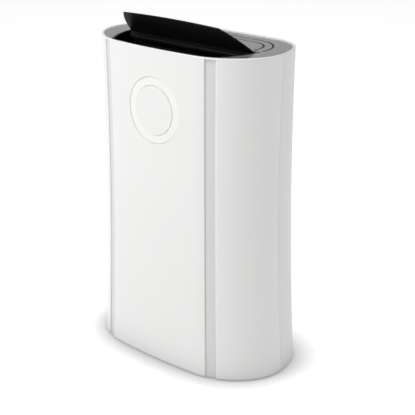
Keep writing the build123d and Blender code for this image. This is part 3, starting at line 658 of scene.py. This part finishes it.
panel = finish_mesh("front_shell", *plate_parts(
    [panel_loop, ring_circle(RING_OUTER + 0.3)], casing, WALL,
    edge_radius(GROOVE_EDGE, PANEL_EDGE), lines=panel_lines, clear=3.0))
put(panel, "casing", "white_gloss", "front_panel")


ring_lines = (lines(-60, 60, 7.0), lines(RING_Z - 60, RING_Z + 60, 7.0))
ring = finish_mesh("light_ring_lens", *plate_parts(
    [ring_circle(RING_OUTER), ring_circle(RING_INNER + 0.1)], sunk(1.0), 2.5, 0.35, 0.2))
put(ring, "casing", "ring_lens", "light_ring")
disc = finish_mesh("ring_centre_disc", *join_parts(
    plate_parts([ring_circle(RING_INNER - 0.3)], sunk(0.2), 3.3, 0.6, 0.2, ring_lines, 3.0),
    plate_parts([ring_circle(RING_OUTER - 0.2)], sunk(3.5), 2.0, 0.2, 0.2, ring_lines, 3.0)))
put(disc, "casing", "white_gloss", "ring_disc")

step_run = run_at(GROOVE_END)
STEP_LENGTH = 5.0


def groove(s):
    """Depth of the side panel's surface: the groove floor, then a rounded step up."""
    t = np.clip((s - step_run) / STEP_LENGTH, 0, 1)
    return GROOVE_DEPTH * (1 - np.sqrt(np.clip(1 - (1 - t) ** 2, 0, 1)))


def side_wall(s, z, depth):
    return casing(s, z, depth + groove(s))


def with_stops(loop, stops):
    """The loop, with a point wherever one of its level sides passes a stop."""
    points = []
    for a, b in zip(loop, np.roll(loop, -1, axis=0)):
        points.append(a)
        if abs(a[1] - b[1]) < 0.01:
            between = [s for s in stops if min(a[0], b[0]) < s < max(a[0], b[0])]
            points += [np.array([s, a[1]]) for s in sorted(between, reverse=bool(b[0] < a[0]))]
    return np.array(points)


side_start = panel_run + PANEL_GAP
side_end = run_at_seam(Z_LINES, -SEAM_GAP / 2)
step_lines = step_run + STEP_LENGTH * np.array(
    [-0.25, 0, 0.01, 0.04, 0.1, 0.18, 0.3, 0.45, 0.62, 0.8, 1.0, 1.3])
flat_lines = np.concatenate([[side_start + 5, side_start + 11], step_lines,
                             lines(step_run + STEP_LENGTH + 6, side_end.max(), 6.0)])
side_loop = with_stops(densify(np.concatenate([
    np.stack([np.full_like(Z_LINES, side_start), Z_LINES], axis=-1)[::-1],
    np.stack([side_end, Z_LINES], axis=-1)]), SIDE_STEP), step_lines)
groove_end_x = outline(np.array([step_run]), 0.0)[0][0]
for mirrored, name, node_name in ((False, "side_shell_right", "side_panel_right"),
                                  (True, "side_shell_left", "side_panel_left")):
    shell = finish_mesh(name, *plate_parts(
        [side_loop], side_wall, WALL, edge_radius(FINE_EDGE, SHELL_EDGE),
        lines=(flat_lines, Z_LINES), clear=0.6), mirror=mirrored)
    put(shell, "casing", "white_gloss", node_name)
    # Faces of the groove floor in front take the darker finish: painted shade in the recess.
    shell.data.materials.append(GROOVE_PAINTED_SHADE_FINISH)
    for face in shell.data.polygons:
        across = abs(face.center.x) / MM / waist(face.center.z / MM)
        if across < groove_end_x and face.center.y < 0:
            face.material_index = 1

# ------------------------------------------------------------------ rear cover, tank cover and grille
TANK_Z0, TANK_Z1, TANK_BEARING = 112.0, 330.0, 125.0
FILTER_Z0, FILTER_Z1, FILTER_X = 352.0, 574.0, 104.0
HATCH_GAP = 0.6  # round the tank cover and the intake grille
GLAND_XZ, GLAND_HOLE_R = (-128.0, 70.0), 8.2
DRAIN_XZ, DRAIN_R, SPOUT_R, SPOUT_Y0, SPOUT_Y1 = (96.0, 60.0), 7.5, 10.0, 84.0, 110.0
PULL_Z, PULL_LENGTH, PULL_WIDTH, PULL_Y, PULL_DEPTH = 306.0, 96.0, 22.0, 107.5, 6.0
PULL_LIP = 3.0  # how far the finger pull's floor reaches under the cover
GRILLE_Y, GRILLE_ROWS, GRILLE_PITCH = 106.2, 18, 11.4
GRILLE_COLUMNS, SLIT_LENGTH, SLIT_WIDTH = (-67, 0, 67), 60, 6


def on_back(loop):
    """A loop drawn in (x, z), laid on the rear wall."""
    loop = np.array(loop)
    return np.stack([run_at_x(loop[:, 0], loop[:, 1]), loop[:, 1]], axis=-1)


seam = run_at_seam(Z_LINES, SEAM_GAP / 2)
rear_loop = np.concatenate([
    np.stack([seam, Z_LINES], axis=-1)[::-1],
    np.stack([2 * HALF_RUN - seam, Z_LINES], axis=-1)])
tank_run = run_at(TANK_BEARING)
rear_holes = [
    densify(rectangle(tank_run - HATCH_GAP, 2 * HALF_RUN - tank_run + HATCH_GAP, TANK_Z0, TANK_Z1, 3.0),
            SIDE_STEP),
    on_back(densify(rectangle(-FILTER_X - HATCH_GAP, FILTER_X + HATCH_GAP, FILTER_Z0, FILTER_Z1, 3.0),
                    SIDE_STEP)),
    on_back(circle(*GLAND_XZ, GLAND_HOLE_R, 40)),
    on_back(circle(*DRAIN_XZ, DRAIN_R, 40)),
]
rear_lines = (lines(seam.min(), 2 * HALF_RUN - seam.min(), 8.0), Z_LINES)
spout = lathe_parts([(DRAIN_R, SPOUT_Y0), (SPOUT_R, SPOUT_Y0), (SPOUT_R, SPOUT_Y1), (DRAIN_R, SPOUT_Y1)],
                    (DRAIN_XZ[0], 0, DRAIN_XZ[1]), "Y")
rear = finish_mesh("rear_shell", *join_parts(
    plate_parts([densify(rear_loop, 8.0), *rear_holes], casing, WALL,
                edge_radius(FINE_EDGE, SHELL_EDGE), lines=rear_lines),
    spout))
put(rear, "casing", "white_satin", "rear_cover")

tank_loop = densify(rectangle(tank_run, 2 * HALF_RUN - tank_run, TANK_Z0 + HATCH_GAP, TANK_Z1 - HATCH_GAP,
                              2.6), SIDE_STEP)
tank_lines = (lines(tank_run, 2 * HALF_RUN - tank_run, 8.0), lines(TANK_Z0, TANK_Z1, 9.0))


def upright(y):
    """A flat upright plate facing the back: drawn in (-x, z)."""
    return lambda u, v, depth: np.stack([-u, y - depth + 0.0 * u, v + 0.0 * u], axis=-1)


def pull_outline(grow):
    """The finger pull's slot, larger all round by an amount."""
    return densify(slot(0, PULL_Z, PULL_LENGTH + 2 * grow, PULL_WIDTH + 2 * grow), SIDE_STEP)


pull_lines = (lines(-50, 50, 8), lines(PULL_Z - 14, PULL_Z + 14, 6))
tank_back = finish_mesh("tank_back_cover", *join_parts(
    plate_parts([tank_loop, on_back(pull_outline(0.0))], casing, WALL, PANEL_EDGE,
                lines=tank_lines, clear=2.5),
    plate_parts([pull_outline(PULL_LIP), pull_outline(0.2)], upright(PULL_Y), PULL_DEPTH, 0.2, 0.2),
    plate_parts([pull_outline(PULL_LIP)], upright(PULL_Y - PULL_DEPTH - 0.1), 2.2, 0.2, 0.2,
                pull_lines, 3.0)))
put(tank_back, "tank", "white_gloss", "tank_cover")

grille_loops = [densify(rectangle(-FILTER_X, FILTER_X, FILTER_Z0 + HATCH_GAP, FILTER_Z1 - HATCH_GAP, 2.6), 8.0)]
for row in range(GRILLE_ROWS):
    height = (FILTER_Z0 + FILTER_Z1) / 2 + (row - (GRILLE_ROWS - 1) / 2) * GRILLE_PITCH
    grille_loops += [densify(slot(x, height, SLIT_LENGTH, SLIT_WIDTH, 6), 10.0) for x in GRILLE_COLUMNS]
grille = finish_mesh("intake_grille_face", *plate_parts(grille_loops, upright(GRILLE_Y), 3.0, 0.7))
put(grille, "filter", "grille_white", "intake_grille")

# ------------------------------------------------------------------ rim and silver top
RIM_SCALE = waist((RIM_Z + HEIGHT) / 2)
CROWN_OUT, CROWN_IN, CROWN_STEPS = 2.4, 1.6, 6  # radii of the rim's two upper edges
RIM_STATIONS = 320
TOP_INSET = RIM + 0.2
OPENING_SIDE = ((153.5, 1.8), (143.5, -46.0), (111.0, -97.0))  # right side of the outlet's opening
GRIP_HALF, GRIP_Y, GRIP_WIDTH, GRIP_BOW = 38.0, 84.3, 2.4, 2.5
CONTROLS_FRONT, CONTROLS_X = 8.5, -14.0
BUTTON_Y, BUTTON_PITCH, BUTTON_HOLE_R = 28.0, 26.0, 8.3
DISPLAY_Y, DISPLAY_HALF, DISPLAY_HALF_Y = 49.0, 46.2, 7.7


def rim_parts():
    """White ring round the top edge, with a rounded crown."""
    profile = [(0.0, RIM_Z, 0.0), (0.0, HEIGHT - CROWN_OUT, 0.0)]
    for k in range(1, CROWN_STEPS + 1):
        a = math.pi / 2 * k / CROWN_STEPS
        profile.append((CROWN_OUT * (1 - math.cos(a)), HEIGHT - CROWN_OUT * (1 - math.sin(a)), a))
    for k in range(CROWN_STEPS + 1):
        a = math.pi / 2 * (1 + k / CROWN_STEPS)
        profile.append((RIM - CROWN_IN * (1 + math.cos(a)), HEIGHT - CROWN_IN * (1 - math.sin(a)), a))
    profile.append((RIM, RIM_Z, math.pi))
    inset, height, turn = np.array(profile).T
    stations = np.linspace(0, 2 * HALF_RUN, RIM_STATIONS + 1)[:-1]
    points, normals = [], []
    for s in stations:
        x, y = outline(np.full_like(inset, s), inset)
        (x0, x1), (y0, y1) = outline(np.array([s, s]), np.array([0.0, 1.0]))
        out = np.array([x0 - x1, y0 - y1])
        for k in range(len(inset)):
            points.append((x[k] * RIM_SCALE, y[k] * RIM_SCALE, height[k]))
            c = math.cos(turn[k])
            normals.append((out[0] * c, out[1] * c, math.sin(turn[k])))
    n, m = len(inset), len(stations)
    faces = []
    for i in range(m):
        j = (i + 1) % m
        for k in range(n):
            p = (k + 1) % n
            faces.append((i * n + k, j * n + k, j * n + p, i * n + p))
    return points, faces, normals


rim = finish_mesh("top_rim_ring", *rim_parts())
put(rim, "casing", "white_gloss", "top_rim")


def level(top):
    """A flat plate facing up: drawn in (x, y)."""
    return lambda u, v, depth: np.stack([u, v + 0.0 * u, top - depth + 0.0 * u], axis=-1)


border_s = np.linspace(0, 2 * HALF_RUN, 400)[:-1]
border = np.stack(outline(border_s, TOP_INSET), axis=-1) * waist(HEIGHT)
side_arc = arc_through(*OPENING_SIDE, 200)
side_arc = side_arc[inside(side_arc, [border])]
crossing = np.argmin(np.linalg.norm(border[:200] - side_arc[-1], axis=1))
border_part = border[crossing:len(border) - crossing + 1]
side_arc = side_arc[::6]
mirror_x = np.array([-1.0, 1.0])
top_loop = densify(np.concatenate([border_part, side_arc[::-1] * mirror_x, side_arc]), SIDE_STEP)


def half_stadium(x, front, rear, radius):
    """Outline of the controls: small corners in front and large ones behind."""
    return rounded(((-x, front), (x, front), (x, rear), (-x, rear)), (3, 3, radius, radius), 24)


def arch(x, rear, radius, foot):
    """The sides and back of the controls' outline, from the right foot to the left one."""
    return rounded(((x, CONTROLS_FRONT), (x, rear), (-x, rear), (-x, CONTROLS_FRONT)),
                   (foot, radius, radius, foot), 24)


def grip_side(y):
    return arc_through((-GRIP_HALF, y), (0.0, y + GRIP_BOW), (GRIP_HALF, y), 21)


grip_loop = np.concatenate([grip_side(GRIP_Y), grip_side(GRIP_Y + GRIP_WIDTH)[::-1]])
top_lines = (lines(-200, 200, 14.0), lines(-110, 110, 14.0))
ring_loop = densify(np.concatenate([arch(150, 75, 57, 3), arch(137, 62, 44, 0)[::-1]]), 5.0)
plate_loops = [densify(half_stadium(133, CONTROLS_FRONT, 58, 40), 5.0)]
plate_loops += [circle((i - 2) * BUTTON_PITCH + CONTROLS_X, BUTTON_Y, BUTTON_HOLE_R, 48) for i in range(5)]
plate_loops.append(densify(rectangle(
    CONTROLS_X - DISPLAY_HALF, CONTROLS_X + DISPLAY_HALF,
    DISPLAY_Y - DISPLAY_HALF_Y, DISPLAY_Y + DISPLAY_HALF_Y, 5.2), 5.0))
for name, loops, node_name in (
        ("top_cover_plate", [top_loop, densify(half_stadium(154, 5, 79, 61), 5.0), grip_loop], "top_cover"),
        ("control_ring_band", [ring_loop], "control_ring"),
        ("control_plate_top", plate_loops, "control_plate")):
    plate = finish_mesh(name, *plate_parts(
        loops, level(COVER_TOP), COVER_THICK, COVER_EDGE, 0.2, top_lines, 3.0))
    put(plate, "casing", "silver_top", node_name)

# ------------------------------------------------------------------ flap
HINGE_Y, HINGE_Z = -12.0, 588.0
FLAP_TOP, FLAP_SKIN = 598.5, 2.2
FLAP_OPEN = math.radians(40)
FLAP_HINGE_CORNER, FLAP_NOSE_CORNER = (151.5, -1.5), (114.0, -86.0)
FLAP_SIDE, FLAP_NOSE_Y = (138.2, -46.5), -91.5  # middles of the side and of the nose
FLAP_ROUND, FLAP_UNDER_ROUND = 0.9, 0.5
# The bevel under the edge: distance in from the outline, and depth under the top.
FLAP_BEVEL = ((3.0, 2.2), (3.3, 2.25), (14.5, 3.1), (15.1, 3.2), (16.0, 3.25), (17.2, 3.3))
RIDGE_Y, RIDGE_RISE, RIDGE_HALF, RIDGE_END_X = -37.0, 0.9, 2.6, 118.0  # rib across the underside
BARREL_END, BARREL_R, BARREL_SOFT, PIN_HOLE_R = 148.3, 5.0, 0.8, 2.05
WEB_HALF = 4.0  # half width of the web between the barrel and the skin


def flap_loop(inset):
    """Outline of the closed flap, set in by an inset, always with the same number of points."""
    hinge_x, hinge_y = FLAP_HINGE_CORNER[0] - inset, FLAP_HINGE_CORNER[1] - inset
    corner = (FLAP_NOSE_CORNER[0] - inset, FLAP_NOSE_CORNER[1] + inset)
    right = arc_through((hinge_x, hinge_y), (FLAP_SIDE[0] - inset, FLAP_SIDE[1]), corner, 30)
    nose = arc_through(corner, (0, FLAP_NOSE_Y + inset), (-corner[0], corner[1]), 45)
    left = (right * mirror_x)[::-1]
    back = np.stack([np.linspace(-hinge_x, hinge_x, 50), np.full(50, hinge_y)], axis=-1)
    return np.concatenate([right[:-1], nose[:-1], left[:-1], back[:-1]])[::-1]


def flap_parts():
    """The closed flap: thin skin with rounded edges, shallow bevel, and a rib on the underside."""
    levels = []
    for k in range(5):
        a = math.pi / 2 * k / 4
        levels.append((FLAP_ROUND * (1 - math.sin(a)), FLAP_TOP - FLAP_ROUND * (1 - math.cos(a))))
    for k in range(1, 4):
        a = math.pi / 2 * k / 3
        levels.append((FLAP_UNDER_ROUND * (1 - math.cos(a)),
                       FLAP_TOP - FLAP_SKIN + FLAP_UNDER_ROUND * (1 - math.sin(a))))
    levels += [(inset, FLAP_TOP - depth) for inset, depth in FLAP_BEVEL]
    points, faces = [], []
    count = len(flap_loop(0))
    for inset, height in levels:
        points += [(x, y, height) for x, y in flap_loop(inset)]
    for row in range(len(levels) - 1):
        for i in range(count):
            j = (i + 1) % count
            faces.append((row * count + i, (row + 1) * count + i, (row + 1) * count + j, row * count + j))
    us = lines(-150, 150, 10.0)
    vs = np.concatenate([lines(-90, -42, 8.0),
                         RIDGE_Y + np.array([-3, -2.2, -1.4, -0.7, 0, 0.7, 1.4, 2.2, 3]),
                         [-30, -24]])
    for (inset, height), upper in ((levels[0], True), (levels[-1], False)):
        loop = flap_loop(inset)
        grid = np.stack(np.meshgrid(us, vs), axis=-1).reshape(-1, 2)
        grid = grid[inside(grid, [loop])]
        grid = grid[clearance(grid, [loop]) > 1.5]
        base = 0 if upper else (len(levels) - 1) * count
        start = len(points)
        rise = np.zeros(len(grid))
        if not upper:
            across = np.clip(1 - ((grid[:, 1] - RIDGE_Y) / RIDGE_HALF) ** 2, 0, 1)
            rise = -RIDGE_RISE * across ** 0.7
            rise *= np.clip((RIDGE_END_X - np.abs(grid[:, 0])) / 10, 0, 1)
        points += [(x, y, height + r) for (x, y), r in zip(grid, rise)]
        for t in fill([loop], grid):
            t = [base + i if i < count else start + i - count for i in t]
            faces.append(tuple(t) if upper else tuple(reversed(t)))
    return points, faces


def turn_about_hinge(points, angle):
    """Points of the closed flap, opened by an angle."""
    points = np.array(points, float)
    y, z = points[:, 1] - HINGE_Y, points[:, 2] - HINGE_Z
    c, s = math.cos(angle), math.sin(angle)
    points[:, 1], points[:, 2] = HINGE_Y + y * c + z * s, HINGE_Z - y * s + z * c
    return points


def smooth_by_angle(obj, degrees):
    """Smooth shading, but for edges sharper than an angle."""
    mesh = bmesh.new()
    mesh.from_mesh(obj.data)
    for edge in mesh.edges:
        edge.smooth = edge.calc_face_angle(math.pi) < math.radians(degrees)
    mesh.to_mesh(obj.data)
    mesh.free()
    weighted = obj.modifiers.new("weighted", "WEIGHTED_NORMAL")
    weighted.keep_sharp = True


def barrel_parts():
    """The hinge barrel with its hole for the pin."""
    profile = [(PIN_HOLE_R, -BARREL_END), (BARREL_R - BARREL_SOFT, -BARREL_END),
               (BARREL_R, BARREL_SOFT - BARREL_END), (BARREL_R, BARREL_END - BARREL_SOFT),
               (BARREL_R - BARREL_SOFT, BARREL_END), (PIN_HOLE_R, BARREL_END)]
    points, faces, _ = lathe_parts(profile, (0, HINGE_Y, HINGE_Z), "X", 40)
    return [tuple(p) for p in points], faces


def web_parts():
    """The web that joins the barrel to the skin: a plain box."""
    end = BARREL_END - 0.3
    points = [(x, y, z) for x in (-end, end) for y in (HINGE_Y - WEB_HALF, HINGE_Y + WEB_HALF)
              for z in (HINGE_Z + 2.5, FLAP_TOP - 3)]
    return points, [(0, 1, 3, 2), (4, 6, 7, 5), (0, 4, 5, 1), (2, 3, 7, 6), (0, 2, 6, 4), (1, 5, 7, 3)]


flap_points, flap_faces = [], []
for points, faces in (flap_parts(), barrel_parts(), web_parts()):
    start = len(flap_points)
    flap_points += points
    flap_faces += [tuple(i + start for i in face) for face in faces]
flap = finish_mesh("outlet_flap_panel", turn_about_hinge(flap_points, FLAP_OPEN), flap_faces)
smooth_by_angle(flap, 28)
put(flap, "flap", "black_gloss", "outlet_flap")

# ------------------------------------------------------------------ stage, light and camera
# From here on lengths are in metres.
FLOOR_HALF = 14.0
PAINTED_SHADOW_REACH, OPEN_FROM = 0.078, 0.5  # reach of the painted contact shadow, and the openness where it starts
# Colour and glow of the floor inside the painted contact shadow, and in the open.
PAINTED_SHADOW_TONE, FLOOR_TONE = (0.3, 0.3, 0.3), (0.5, 0.5, 0.5)
PAINTED_SHADOW_GLOW, FLOOR_GLOW = 0.3, 0.8
HORIZON, SKY, SKY_FROM = 0.8, 0.26, 0.2  # light of the surroundings, and the height where it is even
TARGET, AZIMUTH, ELEVATION, DISTANCE = (0.0449, -0.013, 0.2921), 41.8, 20.5, 2.037
SENSOR, LENS = 36.0, 95.2
scene = bpy.context.scene


def floor_finish():
    """Pale matt paper that glows, with a painted contact shadow: darker and dimmer where something stands close
    over it.
    """
    material = bpy.data.materials.new("floor_paper")
    tree, shader, where = nodes_of(material)
    # Ambient occlusion paints the contact shadow into the floor's colour and glow.
    painted_shadow_ao = tree.nodes.new("ShaderNodeAmbientOcclusion")
    painted_shadow_ao.samples = 24
    painted_shadow_ao.inputs["Distance"].default_value = PAINTED_SHADOW_REACH
    tree.links.new(blend_colours(tree, painted_shadow_ao.outputs["AO"], PAINTED_SHADOW_TONE, FLOOR_TONE, OPEN_FROM, 1.0),
                   shader.inputs["Base Color"])
    tree.links.new(ramp(tree, painted_shadow_ao.outputs["AO"], PAINTED_SHADOW_GLOW, FLOOR_GLOW, OPEN_FROM, 1.0),
                   shader.inputs["Emission Strength"])
    shader.inputs["Roughness"].default_value = 0.85
    shader.inputs["Emission Color"].default_value = (1.0, 1.0, 1.0, 1.0)
    shader.inputs["Specular IOR Level"].default_value = 0.1
    bump(tree, shader, noise(tree, where, 60.0), 0.03, 0.0002)
    return material


def stage_floor():
    """Wide pale floor."""
    points = [(x, y, 0.0) for x in (-FLOOR_HALF, FLOOR_HALF) for y in (-FLOOR_HALF, FLOOR_HALF)]
    mesh = bpy.data.meshes.new("stage_floor")
    mesh.from_pydata(points, [], [(0, 2, 3, 1)])
    mesh.materials.append(floor_finish())
    floor = bpy.data.objects.new("stage_floor", mesh)
    scene.collection.objects.link(floor)


def studio_world():
    """Even white surroundings, brighter towards the horizon."""
    world = bpy.data.worlds.new("studio")
    world.use_nodes = True
    tree = world.node_tree
    backdrop = tree.nodes["Background"]
    backdrop.inputs["Color"].default_value = (1.0, 1.0, 1.0, 1.0)
    direction = tree.nodes.new("ShaderNodeTexCoord")
    upward = tree.nodes.new("ShaderNodeSeparateXYZ")
    tree.links.new(direction.outputs["Generated"], upward.inputs[0])
    tree.links.new(ramp(tree, upward.outputs["Z"], HORIZON, SKY, 0.0, SKY_FROM),
                   backdrop.inputs["Strength"])
    scene.world = world
    scene.view_settings.view_transform = "Standard"


def aim(obj, place, target):
    """Put a light or a camera at a place, looking at a target."""
    obj.location = place
    obj.rotation_euler = (Vector(target) - Vector(place)).to_track_quat("-Z", "Y").to_euler()


def area_light(name, place, target, size, energy):
    data = bpy.data.lights.new(name, "AREA")
    data.shape = "RECTANGLE"
    data.size, data.size_y = size
    data.energy = energy
    light = bpy.data.objects.new(name, data)
    scene.collection.objects.link(light)
    aim(light, place, target)


def studio_camera():
    azimuth, elevation = math.radians(AZIMUTH), math.radians(ELEVATION)
    away = Vector((math.sin(azimuth) * math.cos(elevation), -math.cos(azimuth) * math.cos(elevation),
                   math.sin(elevation)))
    data = bpy.data.cameras.new("camera")
    data.sensor_width = SENSOR
    data.lens = LENS
    data.clip_end = 60.0
    camera = bpy.data.objects.new("camera", data)
    scene.collection.objects.link(camera)
    aim(camera, Vector(TARGET) + away * DISTANCE, TARGET)
    scene.camera = camera


stage_floor()
studio_world()
area_light("overhead", place=(0.2, 0.0, 2.4), target=(0.2, 0.0, 0.0), size=(3.0, 3.0), energy=35.0)
area_light("key", place=(-0.75, -1.5, 2.0), target=(0.0, 0.0, 0.4), size=(1.0, 1.0), energy=27.5)
studio_camera()
